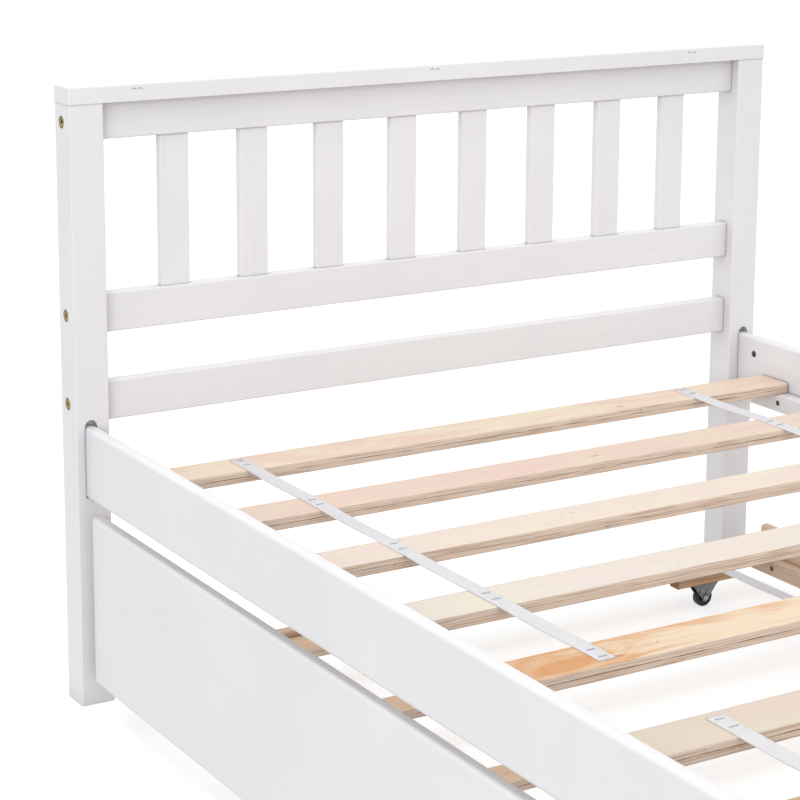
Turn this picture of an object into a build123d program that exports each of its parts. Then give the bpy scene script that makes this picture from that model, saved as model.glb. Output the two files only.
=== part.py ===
from build123d import *
import os

# Twin trundle bed, millimetres. X across the bed, +Y to the headboard, Z up.
# The origin is on the floor under the middle of the bed.

# Driving dimensions of the bed
BED_WIDTH = 1080.0          # over the posts
POST_SPAN = 1880.0          # clear length between head and foot posts
POST = 45.0                 # square post
HEAD_POST_HEIGHT = 770.0
FOOT_POST_HEIGHT = 508.0
CAP_THICKNESS = 22.0
CAP_OVERHANG = 1.0
END_RAIL_THICKNESS = 18.0
END_RAIL_SETBACK = 15.5     # post face to rail face, on the mattress side
HEAD_TOP_RAIL = (723.0, 770.0)
HEAD_MIDDLE_RAIL = (480.0, 530.0)
LOWER_RAIL = (367.0, 417.0)
FOOT_TOP_RAIL = (461.0, 508.0)
HEAD_SLAT_COUNT = 8
HEAD_SLAT_WIDTH = 40.0
HEAD_SLAT_THICKNESS = 12.0
HEAD_SLAT_PITCH = 112.0
MORTISE_DEPTH = 8.0
BOARD_EDGE = 2.0            # softened edge of a painted board
CAP_EDGE = 3.0

# Side rails, ledgers and slats
SIDE_RAIL_THICKNESS = 16.0
SIDE_RAIL_INSET = 12.0      # post side to rail face
SIDE_RAIL_Z = (274.0, 366.0)
SIDE_RAIL_EDGE = 5.0
GROOVE_DEPTH = 10.0
GROOVE_PLAY = 0.2
LEDGER_WIDTH = 20.0
LEDGER_HEIGHT = 25.0
LEDGER_GAP = 56.0           # ledger end to post
LEDGER_LIFT = 1.0           # rail underside to ledger underside
LEDGER_EDGE = 1.5
SLAT_THICKNESS = 15.0
SLAT_WIDTH = 58.0
SLAT_LENGTH = 1020.0
SLAT_EDGE = 1.2
SLATS_PER_SET = 5
SLAT_PITCH = 188.5
FIRST_SLAT = 86.0           # post face to the middle of the first slat
STRAP_WIDTH = 20.0
STRAP_THICKNESS = 1.2
STRAP_TAIL = 18.0           # strap end past the middle of its last slat
BED_STRAP_X = 352.0

# Trundle
PANEL_THICKNESS = 16.0
PANEL_X = -527.0            # outer face of the front panel
PANEL_Z = (33.0, 253.0)
PANEL_LENGTH = 1851.0
PANEL_EDGE = 5.0
TRUNDLE_BACK_X = 527.0      # outer face of the back rail
TRUNDLE_RAIL_THICKNESS = 16.0
BACK_RAIL_Z = (27.0, 90.0)
BACK_RAIL_EDGE = 6.0
END_BOARD_THICKNESS = 17.0
END_BOARD_Z = (37.0, 73.0)
TRUNDLE_LENGTH = 1778.0     # over the end boards
END_SCREW_INSET = 9.0       # end board edge to its screws
TRUNDLE_LEDGER = 18.0
TRUNDLE_LEDGER_GAP = 2.0    # ledger end to end board
PANEL_LEDGER_LIFT = 3.0     # panel underside to ledger underside
TRUNDLE_SLAT_Z = (51.0, 65.0)
TRUNDLE_SLAT_WIDTH = 46.0
TRUNDLE_SLAT_LENGTH = 1018.0
TRUNDLE_SLATS_PER_SET = 4
TRUNDLE_SLAT_PITCH = 235.0
TRUNDLE_FIRST_SLAT = 93.0   # post face to the middle of the first slat
TRUNDLE_STRAP_X = 383.0

# Casters
CASTER_X = 377.0
CASTER_Y = 838.0
CASTER_BLOCK_LENGTH = 102.0
CASTER_BLOCK_DEPTH = 20.0
BLOCK_SCREW_FROM_END = 12.0
PLATE_SCREW_FROM_END = 4.0
CASTER_TOP = 35.0
WHEEL_DIAMETER = 28.0
WHEEL_WIDTH = 10.0
WHEEL_EDGE = 1.5
TREAD_DEPTH = 4.5
HUB_DIAMETER = 15.0
HUB_RECESS = 0.8
AXLE_DIAMETER = 4.0
AXLE_PLAY = 0.07
AXLE_HEAD_DIAMETER = 9.0
AXLE_HEAD_HEIGHT = 2.2
AXLE_DOME = 1.8             # rounding of a rivet head
STEEL = 1.5                 # sheet of the caster bracket
BRACKET_LENGTH = 44.0
BRACKET_WIDTH = 19.0
CHEEK_GAP = 12.0
CHEEK_FOOT_RADIUS = 6.5
CHEEK_SETBACK = 1.0         # plate end to cheek
PLATE_CORNER = 3.0

# Bolts, barrel nuts and dowels
BOLT_RECESS = 0.4
BOLT_HEAD_DIAMETER = 15.0
BOLT_HEAD_HEIGHT = 2.8
BOLT_DIAMETER = 6.0
BOLT_REACH = 87.0           # post face to bolt tip
BOLT_HOLE = 7.0
BOLT_SINK = 15.8            # counterbore
BOLT_RIM = 0.6
BOLT_SOCKET = 4.0           # across flats
SOCKET_DEPTH = 1.8
NUT_FROM_FACE = 81.0        # post face to barrel nut
NUT_DIAMETER = 10.0
NUT_LENGTH = 14.0
NUT_RECESS = 0.5
NUT_SLOT = 1.4
DOWEL_DIAMETER = 8.0
DOWEL_LENGTH = 35.0
DOWEL_IN_POST = 15.0
DOWEL_OFFSET = 14.0         # dowel above the bolt in an end rail
CAP_DOWEL_BACK = 10.0       # cap dowel behind the bolts
CAP_DOWEL_XS = (-330.0, 0.0, 330.0)
DOWEL_RIM = 0.8
HOLE_PLAY = 0.05
HOLE_SPARE = 1.0            # how much deeper a blind hole is than its pin
SIDE_BOLT_ZS = (299.0, 341.0)
SIDE_DOWEL_Z = 320.0

# Wood screws and staples
SCREW_DIAMETER = 4.0
SCREW_HEAD_DIAMETER = 8.0
SCREW_HEAD_HEIGHT = 2.6
SCREW_LENGTH = 30.0
SCREW_POINT = 0.3
SHORT_SCREW_LENGTH = 24.0
CROSS_LENGTH = 4.4
CROSS_WIDTH = 1.0
CROSS_DEPTH = 1.4
LEDGER_SCREW_COUNT = 8
LEDGER_SCREW_FROM_POST = 116.0
LEDGER_SCREW_DROP = 12.0    # slat underside to screw
STAPLE_WIDTH = 10.0
STAPLE_WIRE = 1.0
STAPLE_LEG = 8.0
STAPLE_OFFSET = 10.0        # slat middle to each of its two staples
PLATE_SCREW_HEAD = 5.0
PLATE_SCREW_DIAMETER = 2.6
PLATE_SCREW_LENGTH = 10.0
PLATE_SCREW_HEAD_HEIGHT = 1.2
PLATE_SCREW_RIM = 0.5
ANGLE_LEG = 38.0
ANGLE_SHORT_LEG = 20.0
ANGLE_LONG_SCREW = 25.0     # corner to the screw in the long leg
ANGLE_SHORT_SCREW = 12.5
ANGLE_HEIGHT = 20.0
ANGLE_STEEL = 2.0

# Worked-out places
SIDES = {"left": -1, "right": 1}
ENDS = {"head": 1, "foot": -1}
POST_X = (BED_WIDTH - POST) / 2
POST_Y = (POST_SPAN + POST) / 2
POST_BACK = POST_SPAN / 2 + POST
POST_FACE = POST_SPAN / 2
END_RAIL_Y = POST_FACE + END_RAIL_SETBACK + END_RAIL_THICKNESS / 2
END_RAIL_HALF = BED_WIDTH / 2 - POST
SIDE_RAIL_OUTER = BED_WIDTH / 2 - SIDE_RAIL_INSET
SIDE_RAIL_INNER = SIDE_RAIL_OUTER - SIDE_RAIL_THICKNESS
SIDE_RAIL_X = (SIDE_RAIL_OUTER + SIDE_RAIL_INNER) / 2
LEDGER_TOP = SIDE_RAIL_Z[0] + LEDGER_LIFT + LEDGER_HEIGHT
SLAT_TOP = LEDGER_TOP + SLAT_THICKNESS
TRUNDLE_SLAT_TOP = TRUNDLE_SLAT_Z[1]
PANEL_BACK = PANEL_X + PANEL_THICKNESS
BACK_RAIL_FACE = TRUNDLE_BACK_X - TRUNDLE_RAIL_THICKNESS
END_BOARD_INNER = TRUNDLE_LENGTH / 2 - END_BOARD_THICKNESS
WHEEL_RADIUS = WHEEL_DIAMETER / 2

os.makedirs("parts", exist_ok=True)


def save(name, shape):
    """Write one node; a list of solids becomes a group of separate solids."""
    if isinstance(shape, list):
        shape = Compound(children=shape)
    shape.label = name
    export_step(shape, f"parts/{name}.step")


def board(x, y, z):
    """A plain board from its low and high faces along X, Y and Z."""
    spans = (x, y, z)
    centre = [(low + high) / 2 for low, high in spans]
    size = [high - low for low, high in spans]
    return Pos(*centre) * Box(*size)


def soften(shape, axis, radius):
    """Round the edges that run along one axis."""
    return fillet(shape.edges().filter_by(axis), radius)


def span(side, near, far):
    """Low and high faces of something between two distances out on one side."""
    return tuple(sorted((side * near, side * far)))


def corners():
    """The four bed corners, as (side, end) signs."""
    return [(side, end) for end in ENDS.values() for side in SIDES.values()]


def end_levels(end):
    """Rails of the headboard or the footboard, by name."""
    if end > 0:
        return {"top_rail": HEAD_TOP_RAIL, "middle_rail": HEAD_MIDDLE_RAIL, "lower_rail": LOWER_RAIL}
    return {"top_rail": FOOT_TOP_RAIL, "lower_rail": LOWER_RAIL}


# Joint places: local Z runs from the post's outside into the rail, and local X
# points out of the rail face that the barrel nut is pushed in from.

def end_joint(side, end, z):
    """Where a headboard or footboard rail is bolted to its post."""
    origin = (side * BED_WIDTH / 2, end * END_RAIL_Y, z)
    return Plane(origin=origin, x_dir=(0, end, 0), z_dir=(-side, 0, 0)).location


def side_joint(side, end, z):
    """Where a side rail is bolted to its post."""
    origin = (side * SIDE_RAIL_X, end * POST_BACK, z)
    return Plane(origin=origin, x_dir=(-side, 0, 0), z_dir=(0, -end, 0)).location


def end_joints(end, above=0):
    """Joint places of one end, all rails and both posts, above their middles."""
    middles = [sum(level) / 2 for level in end_levels(end).values()]
    return [end_joint(side, end, z + above) for z in middles for side in SIDES.values()]


def side_joints(side):
    """Bolt places of one side rail."""
    return [side_joint(side, end, z) for end in ENDS.values() for z in SIDE_BOLT_ZS]


def rod(radius, start, stop):
    """A round rod along local Z."""
    return Pos(0, 0, (start + stop) / 2) * Cylinder(radius, stop - start)


def cross_rod(radius, low, high):
    """A round rod along local X."""
    return Pos((low + high) / 2, 0, 0) * (Rot(0, 90, 0) * Cylinder(radius, high - low))


def bolt():
    """Flat-head furniture bolt, head near the post face and tip past the nut."""
    head_end = BOLT_RECESS + BOLT_HEAD_HEIGHT
    head = rod(BOLT_HEAD_DIAMETER / 2, BOLT_RECESS, head_end)
    head = chamfer(head.edges().group_by(Axis.Z)[0], BOLT_RIM)
    socket = extrude(RegularPolygon(BOLT_SOCKET / 2, 6, major_radius=False), SOCKET_DEPTH)
    return head + rod(BOLT_DIAMETER / 2, head_end, BOLT_REACH) - Pos(0, 0, BOLT_RECESS) * socket


def bolt_bore():
    """Counterbore and clearance hole for one bolt."""
    sink = rod(BOLT_SINK / 2, -HOLE_SPARE, BOLT_RECESS + BOLT_HEAD_HEIGHT)
    return sink + rod(BOLT_HOLE / 2, 0, BOLT_REACH + HOLE_SPARE)


def nut_place(thickness):
    """Local X of a barrel nut's two faces in a rail of this thickness."""
    outer = thickness / 2 - NUT_RECESS
    return outer - NUT_LENGTH, outer


def barrel_nut(thickness):
    """Slotted barrel nut across the bolt."""
    inner, outer = nut_place(thickness)
    body = Pos(0, 0, NUT_FROM_FACE) * cross_rod(NUT_DIAMETER / 2, inner, outer)
    slot = Pos(outer, 0, NUT_FROM_FACE) * Box(2 * NUT_SLOT, NUT_SLOT, NUT_DIAMETER)
    return body - slot - rod(BOLT_DIAMETER / 2 + HOLE_PLAY, 0, BOLT_REACH)


def nut_bore(thickness):
    """Blind hole that the barrel nut is pushed into."""
    inner, outer = nut_place(thickness)
    mouth = outer + NUT_RECESS + HOLE_SPARE
    hole = cross_rod(NUT_DIAMETER / 2 + HOLE_PLAY, inner - HOLE_PLAY, mouth)
    return Pos(0, 0, NUT_FROM_FACE) * hole


def dowel(joint_depth):
    """Dowel across a joint whose meeting faces are at this depth."""
    start = joint_depth - DOWEL_IN_POST
    return soften_ends(rod(DOWEL_DIAMETER / 2, start, start + DOWEL_LENGTH))


def dowel_bore(joint_depth):
    """Hole for such a dowel, a little deeper at both ends."""
    start = joint_depth - DOWEL_IN_POST
    return rod(DOWEL_DIAMETER / 2 + HOLE_PLAY, start - HOLE_SPARE, start + DOWEL_LENGTH + HOLE_SPARE)


def soften_ends(pin):
    """Chamfer the round ends of a pin."""
    return chamfer(pin.edges().filter_by(GeomType.CIRCLE), DOWEL_RIM)


def cap_dowels(end):
    """Places of the upright dowels between the cap and what it sits on."""
    top = HEAD_POST_HEIGHT if end > 0 else FOOT_POST_HEIGHT
    z = top - DOWEL_LENGTH + DOWEL_IN_POST
    rail_spots = [(x, END_RAIL_Y) for x in CAP_DOWEL_XS]
    post_spots = [(side * POST_X, END_RAIL_Y + CAP_DOWEL_BACK) for side in SIDES.values()]
    return [Pos(x, end * y, z) for x, y in rail_spots + post_spots]


def upright_dowel():
    """Dowel standing on its lower end."""
    return soften_ends(rod(DOWEL_DIAMETER / 2, 0, DOWEL_LENGTH))


def upright_bore():
    """Hole for an upright dowel."""
    return rod(DOWEL_DIAMETER / 2 + HOLE_PLAY, -HOLE_SPARE, DOWEL_LENGTH + HOLE_SPARE)


def rail_groove(side, end):
    """Stopped groove in a post for a side rail, with the router's round top."""
    half = SIDE_RAIL_THICKNESS / 2 + GROOVE_PLAY
    x = side * SIDE_RAIL_X
    y = span(end, POST_FACE - HOLE_SPARE, POST_FACE + GROOVE_DEPTH)
    straight = board((x - half, x + half), y, SIDE_RAIL_Z)
    round_top = Rot(90, 0, 0) * Cylinder(half, y[1] - y[0])
    return straight + Pos(x, sum(y) / 2, SIDE_RAIL_Z[1]) * round_top


def post(side, end):
    """One square post with its groove, bolt holes and dowel holes."""
    height = HEAD_POST_HEIGHT if end > 0 else FOOT_POST_HEIGHT
    body = Pos(side * POST_X, end * POST_Y, height / 2) * Box(POST, POST, height)
    body = soften(body, Axis.Z, BOARD_EDGE)
    body -= rail_groove(side, end)
    for level in end_levels(end).values():
        body -= end_joint(side, end, sum(level) / 2) * bolt_bore()
        body -= end_joint(side, end, sum(level) / 2 + DOWEL_OFFSET) * dowel_bore(POST)
    for z in SIDE_BOLT_ZS:
        body -= side_joint(side, end, z) * bolt_bore()
    body -= side_joint(side, end, SIDE_DOWEL_Z) * dowel_bore(POST - GROOVE_DEPTH)
    for place in cap_dowels(end):
        body -= place * upright_bore()
    return body


def cap(end):
    """Flat cap board over both posts and the top rail."""
    half_x = BED_WIDTH / 2 + CAP_OVERHANG
    y = span(end, POST_FACE - CAP_OVERHANG, POST_BACK + CAP_OVERHANG)
    base = HEAD_POST_HEIGHT if end > 0 else FOOT_POST_HEIGHT
    body = board((-half_x, half_x), y, (base, base + CAP_THICKNESS))
    body = fillet(body.edges().group_by(Axis.Z)[-1] + body.edges().filter_by(Axis.Z), CAP_EDGE)
    for place in cap_dowels(end):
        body -= place * upright_bore()
    return body


def head_slat(index):
    """One upright slat of the headboard, with both ends let into the rails."""
    x = (index - (HEAD_SLAT_COUNT - 1) / 2) * HEAD_SLAT_PITCH
    half = HEAD_SLAT_WIDTH / 2
    y = (END_RAIL_Y - HEAD_SLAT_THICKNESS / 2, END_RAIL_Y + HEAD_SLAT_THICKNESS / 2)
    z = (HEAD_MIDDLE_RAIL[1] - MORTISE_DEPTH, HEAD_TOP_RAIL[0] + MORTISE_DEPTH)
    return soften(board((x - half, x + half), y, z), Axis.Z, BOARD_EDGE)


def end_rail(end, name, level):
    """One rail between the two posts of an end."""
    y = span(end, END_RAIL_Y - END_RAIL_THICKNESS / 2, END_RAIL_Y + END_RAIL_THICKNESS / 2)
    body = soften(board((-END_RAIL_HALF, END_RAIL_HALF), y, level), Axis.X, BOARD_EDGE)
    middle = sum(level) / 2
    for side in SIDES.values():
        joint = end_joint(side, end, middle)
        body -= joint * bolt_bore()
        body -= joint * nut_bore(END_RAIL_THICKNESS)
        body -= end_joint(side, end, middle + DOWEL_OFFSET) * dowel_bore(POST)
    if name == "top_rail":
        for place in cap_dowels(end):
            body -= place * upright_bore()
    if end > 0 and name != "lower_rail":
        for index in range(HEAD_SLAT_COUNT):
            body -= head_slat(index)
    return body


def ledger_screw_ys():
    """Distances of the ledger screws along the bed."""
    first = POST_FACE - LEDGER_SCREW_FROM_POST
    step = 2 * first / (LEDGER_SCREW_COUNT - 1)
    return [first - index * step for index in range(LEDGER_SCREW_COUNT)]


def taper(start_radius, stop_radius, start, stop):
    """A cone frustum along local Z."""
    return Pos(0, 0, (start + stop) / 2) * Cone(start_radius, stop_radius, stop - start)


def screw(length):
    """Countersunk cross-head wood screw, its head flat at local Z = 0."""
    radius = SCREW_DIAMETER / 2
    shank = rod(radius, SCREW_HEAD_HEIGHT, length - SCREW_DIAMETER)
    tip = taper(radius, SCREW_POINT, length - SCREW_DIAMETER, length)
    cross = Box(CROSS_LENGTH, CROSS_WIDTH, 2 * CROSS_DEPTH)
    cross += Rot(0, 0, 90) * cross
    return taper(SCREW_HEAD_DIAMETER / 2, radius, 0, SCREW_HEAD_HEIGHT) + shank + tip - cross


def screw_bore(length):
    """Countersunk pilot hole for a wood screw."""
    radius = SCREW_DIAMETER / 2 + HOLE_PLAY
    sink = taper(SCREW_HEAD_DIAMETER / 2 + HOLE_PLAY, radius, 0, SCREW_HEAD_HEIGHT)
    return sink + rod(radius, 0, length + HOLE_SPARE)


def bed_ledger_screws(side):
    """Places of the screws that hold one bed ledger to its side rail."""
    face = side * (SIDE_RAIL_INNER - LEDGER_WIDTH)
    z = LEDGER_TOP - LEDGER_SCREW_DROP
    return [Plane(origin=(face, y, z), z_dir=(side, 0, 0)).location for y in ledger_screw_ys()]


def side_rail(side):
    """Side rail, its ends housed in the posts' grooves."""
    half = POST_FACE + GROOVE_DEPTH - GROOVE_PLAY
    x = span(side, SIDE_RAIL_INNER, SIDE_RAIL_OUTER)
    body = soften(board(x, (-half, half), SIDE_RAIL_Z), Axis.Y, SIDE_RAIL_EDGE)
    for joint in side_joints(side):
        body -= joint * bolt_bore()
        body -= joint * nut_bore(SIDE_RAIL_THICKNESS)
    for end in ENDS.values():
        body -= side_joint(side, end, SIDE_DOWEL_Z) * dowel_bore(POST - GROOVE_DEPTH)
    for place in bed_ledger_screws(side):
        body -= place * screw_bore(SCREW_LENGTH)
    return body


def bed_ledger(side):
    """Strip inside a side rail that the slats lie on."""
    half = POST_FACE - LEDGER_GAP
    x = span(side, SIDE_RAIL_INNER - LEDGER_WIDTH, SIDE_RAIL_INNER)
    body = soften(board(x, (-half, half), (LEDGER_TOP - LEDGER_HEIGHT, LEDGER_TOP)), Axis.Y, LEDGER_EDGE)
    for place in bed_ledger_screws(side):
        body -= place * screw_bore(SCREW_LENGTH)
    return body


def slat_sets(first, pitch, count):
    """Slat middles along Y: one set from the head and its mirror from the foot."""
    head = [POST_FACE - first - index * pitch for index in range(count)]
    return [head, [-y for y in reversed(head)]]


def staple_places(ys, strap_x):
    """Staples of these slats: two to each crossing of slat and strap."""
    xs = [side * strap_x for side in SIDES.values()]
    return [(x, y + step * STAPLE_OFFSET) for y in ys for x in xs for step in (-1, 1)]


def staple(x, y, top):
    """Staple over a strap, its two legs down in the slat."""
    crown = Pos(x, y, top + STAPLE_WIRE / 2) * Box(STAPLE_WIDTH, STAPLE_WIRE, STAPLE_WIRE)
    leg_x = (STAPLE_WIDTH - STAPLE_WIRE) / 2
    for side in SIDES.values():
        crown += Pos(x + side * leg_x, y, top - STAPLE_LEG / 2) * Box(STAPLE_WIRE, STAPLE_WIRE, STAPLE_LEG)
    return crown


def slat(y, width, length, z, strap_x):
    """One cross slat with the holes that its staples make."""
    body = soften(board((-length / 2, length / 2), (y - width / 2, y + width / 2), z), Axis.X, SLAT_EDGE)
    for place in staple_places([y], strap_x):
        body -= staple(*place, z[1] + STRAP_THICKNESS)
    return body


def straps(sets, top, strap_x):
    """Webbing on top of each slat set, two runs to a set."""
    made = []
    z = (top, top + STRAP_THICKNESS)
    for ys in sets:
        ends = (min(ys) - STRAP_TAIL, max(ys) + STRAP_TAIL)
        for side in SIDES.values():
            x = side * strap_x
            run = board((x - STRAP_WIDTH / 2, x + STRAP_WIDTH / 2), ends, z)
            for place in staple_places(ys, strap_x):
                run -= staple(*place, z[1])
            made.append(run)
    return made


def staples(sets, top, strap_x):
    """All staples of one slat deck."""
    places = [place for ys in sets for place in staple_places(ys, strap_x)]
    return [staple(*place, top + STRAP_THICKNESS) for place in places]


# Trundle

def panel_ledger_screws():
    """Places of the screws from the front ledger into the panel."""
    face = PANEL_BACK + TRUNDLE_LEDGER
    z = (PANEL_Z[0] + TRUNDLE_SLAT_Z[0]) / 2
    return [Plane(origin=(face, y, z), z_dir=(-1, 0, 0)).location for y in ledger_screw_ys()]


def back_ledger_screws():
    """Places of the screws from the back ledger into the back rail."""
    face = BACK_RAIL_FACE - TRUNDLE_LEDGER
    z = TRUNDLE_SLAT_Z[0] - LEDGER_SCREW_DROP
    return [Plane(origin=(face, y, z), z_dir=(1, 0, 0)).location for y in ledger_screw_ys()]


def end_board_screws(end):
    """Places of the two screws from an end board into the back rail."""
    x = (BACK_RAIL_FACE + TRUNDLE_BACK_X) / 2
    low, high = END_BOARD_Z
    zs = (low + END_SCREW_INSET, high - END_SCREW_INSET)
    return [Plane(origin=(x, end * TRUNDLE_LENGTH / 2, z), z_dir=(0, -end, 0)).location for z in zs]


def front_panel():
    """Painted front of the trundle, its top edges well rounded."""
    half = PANEL_LENGTH / 2
    body = board((PANEL_X, PANEL_BACK), (-half, half), PANEL_Z)
    body = soften(body, Axis.Y, PANEL_EDGE)
    for place in panel_ledger_screws():
        body -= place * screw_bore(SCREW_LENGTH)
    for end in ENDS.values():
        body -= angle_screw_bores(end)
    return body


def back_rail():
    """Back rail of the trundle."""
    x = (BACK_RAIL_FACE, TRUNDLE_BACK_X)
    body = board(x, (-END_BOARD_INNER, END_BOARD_INNER), BACK_RAIL_Z)
    body = soften(body, Axis.Y, BACK_RAIL_EDGE)
    for place in back_ledger_screws():
        body -= place * screw_bore(SCREW_LENGTH)
    for end in ENDS.values():
        for place in end_board_screws(end):
            body -= place * screw_bore(SCREW_LENGTH)
    return body


def end_board(end):
    """Board across one end of the trundle."""
    y = span(end, END_BOARD_INNER, TRUNDLE_LENGTH / 2)
    body = soften(board((PANEL_BACK, TRUNDLE_BACK_X), y, END_BOARD_Z), Axis.X, BOARD_EDGE)
    for place in end_board_screws(end):
        body -= place * screw_bore(SCREW_LENGTH)
    return body - angle_screw_bores(end)


def trundle_ledger(x, z, places):
    """Strip that carries the trundle slats."""
    half = END_BOARD_INNER - TRUNDLE_LEDGER_GAP
    body = soften(board(x, (-half, half), z), Axis.Y, LEDGER_EDGE)
    for place in places:
        body -= place * screw_bore(SCREW_LENGTH)
    return body


def angle_corner(end):
    """Corner of an angle bracket: panel face, end board face and half height."""
    return PANEL_BACK, end * TRUNDLE_LENGTH / 2, sum(END_BOARD_Z) / 2


def angle_bracket(end):
    """Steel angle that ties an end board to the panel, on the outer side."""
    x, y, middle = angle_corner(end)
    z = (middle - ANGLE_HEIGHT / 2, middle + ANGLE_HEIGHT / 2)
    body = board((x, x + ANGLE_STEEL), span(end, abs(y), abs(y) + ANGLE_SHORT_LEG), z)
    body += board((x, x + ANGLE_LEG), span(end, abs(y), abs(y) + ANGLE_STEEL), z)
    return body - angle_screw_bores(end)


def angle_screws(end):
    """Places of the two screws of one angle bracket."""
    x, y, z = angle_corner(end)
    to_panel = Plane(origin=(x + ANGLE_STEEL, y + end * ANGLE_SHORT_SCREW, z), z_dir=(-1, 0, 0))
    to_board = Plane(origin=(x + ANGLE_LONG_SCREW, y + end * ANGLE_STEEL, z), z_dir=(0, -end, 0))
    return [to_panel.location, to_board.location]


def angle_screw_bores(end):
    """Holes for those screws."""
    first, second = angle_screws(end)
    return first * plate_screw_bore() + second * plate_screw_bore()


def plate_screw():
    """Small pan-head screw, its head under local Z = 0."""
    head = soften_rim(rod(PLATE_SCREW_HEAD / 2, -PLATE_SCREW_HEAD_HEIGHT, 0))
    return head + rod(PLATE_SCREW_DIAMETER / 2, 0, PLATE_SCREW_LENGTH)


def soften_rim(head):
    """Round the outer rim of a screw head."""
    return fillet(head.edges().group_by(Axis.Z)[0], PLATE_SCREW_RIM)


def plate_screw_bore():
    """Hole for a small pan-head screw."""
    return rod(PLATE_SCREW_DIAMETER / 2 + HOLE_PLAY, -STEEL, PLATE_SCREW_LENGTH + HOLE_SPARE)


def caster_places():
    """The four caster centres on the floor."""
    return [(side * CASTER_X, end * CASTER_Y) for side, end in corners()]


def block_screws(x, y):
    """Places of the two long screws up through a caster block."""
    reach = CASTER_BLOCK_LENGTH / 2 - BLOCK_SCREW_FROM_END
    return [Pos(x + side * reach, y, CASTER_TOP) for side in SIDES.values()]


def plate_screws(x, y):
    """Places of the two small screws of a caster plate."""
    reach = BRACKET_LENGTH / 2 - PLATE_SCREW_FROM_END
    return [Pos(x + side * reach, y, CASTER_TOP - STEEL) for side in SIDES.values()]


def caster_block(x, y):
    """Wooden block between a caster and the slat above it."""
    half = CASTER_BLOCK_LENGTH / 2
    depth = CASTER_BLOCK_DEPTH / 2
    body = board((x - half, x + half), (y - depth, y + depth), (CASTER_TOP, TRUNDLE_SLAT_Z[0]))
    body = soften(body, Axis.X, LEDGER_EDGE)
    for place in block_screws(x, y):
        body -= place * screw_bore(SHORT_SCREW_LENGTH)
    for place in plate_screws(x, y):
        body -= place * plate_screw_bore()
    return body


def cheek(x, y):
    """Tapered side of the caster bracket, round about the axle."""
    half = BRACKET_LENGTH / 2 - CHEEK_SETBACK
    top = CASTER_TOP - STEEL
    circle = Pos(x, WHEEL_RADIUS) * Circle(CHEEK_FOOT_RADIUS)
    upper = Polygon((x - half, top), (x + half, top), (x + CHEEK_FOOT_RADIUS, WHEEL_RADIUS),
                    (x - CHEEK_FOOT_RADIUS, WHEEL_RADIUS), align=None)
    upright = Plane(origin=(0, y, 0), x_dir=(1, 0, 0), z_dir=(0, -1, 0))
    return extrude(upright * (circle + upper), STEEL / 2, both=True)


def caster_bracket(x, y):
    """Pressed steel fork: a plate and two cheeks."""
    half = BRACKET_LENGTH / 2
    width = BRACKET_WIDTH / 2
    body = board((x - half, x + half), (y - width, y + width), (CASTER_TOP - STEEL, CASTER_TOP))
    body = fillet(body.edges().filter_by(Axis.Z), PLATE_CORNER)
    offset = (CHEEK_GAP + STEEL) / 2
    for side in SIDES.values():
        body += cheek(x, y + side * offset)
    body -= Pos(x, y, WHEEL_RADIUS) * (Rot(90, 0, 0) * Cylinder(AXLE_DIAMETER / 2, BRACKET_WIDTH * 2))
    for place in plate_screws(x, y):
        body -= place * plate_screw_bore()
    return body


def caster_axle(x, y):
    """Rivet through the cheeks, with a domed head on each end."""
    reach = CHEEK_GAP / 2 + STEEL
    pin = rod(AXLE_DIAMETER / 2, -reach, reach)
    for sign in (-1, 1):
        low, high = sorted((sign * reach, sign * (reach + AXLE_HEAD_HEIGHT)))
        head = rod(AXLE_HEAD_DIAMETER / 2, low, high)
        rim = head.edges().group_by(Axis.Z)[-1 if sign > 0 else 0]
        pin += fillet(rim, AXLE_DOME)
    return Pos(x, y, WHEEL_RADIUS) * (Rot(90, 0, 0) * pin)


def caster_wheel(x, y):
    """Moulded wheel with a soft-cornered tread and dished faces."""
    tread = Cylinder(WHEEL_RADIUS, WHEEL_WIDTH)
    tread = fillet(tread.edges().filter_by(GeomType.CIRCLE), WHEEL_EDGE)
    ring = Cylinder(WHEEL_RADIUS - TREAD_DEPTH, HUB_RECESS) - Cylinder(HUB_DIAMETER / 2, HUB_RECESS)
    for sign in (-1, 1):
        tread -= Pos(0, 0, sign * (WHEEL_WIDTH - HUB_RECESS) / 2) * ring
    tread -= Cylinder(AXLE_DIAMETER / 2 + AXLE_PLAY, 2 * WHEEL_WIDTH)
    return Pos(x, y, WHEEL_RADIUS) * (Rot(90, 0, 0) * tread)


# Headboard, footboard and side rails
for end_name, end in ENDS.items():
    for side_name, side in SIDES.items():
        save(f"{end_name}_post_{side_name}", post(side, end))
    save(f"{end_name}_cap", cap(end))
    for rail_name, level in end_levels(end).items():
        save(f"{end_name}_{rail_name}", end_rail(end, rail_name, level))
for index in range(HEAD_SLAT_COUNT):
    save(f"head_slat_{index + 1}", head_slat(index))
for side_name, side in SIDES.items():
    save(f"side_rail_{side_name}", side_rail(side))
    save(f"bed_ledger_{side_name}", bed_ledger(side))

# Bed slat deck
bed_sets = slat_sets(FIRST_SLAT, SLAT_PITCH, SLATS_PER_SET)
bed_slat_ys = [y for ys in bed_sets for y in ys]
for number, y in enumerate(bed_slat_ys, start=1):
    bed_slat = slat(y, SLAT_WIDTH, SLAT_LENGTH, (LEDGER_TOP, SLAT_TOP), BED_STRAP_X)
    save(f"bed_slat_{number:02d}", bed_slat)
save("bed_slat_straps", straps(bed_sets, SLAT_TOP, BED_STRAP_X))
save("bed_strap_staples", staples(bed_sets, SLAT_TOP, BED_STRAP_X))

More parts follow.
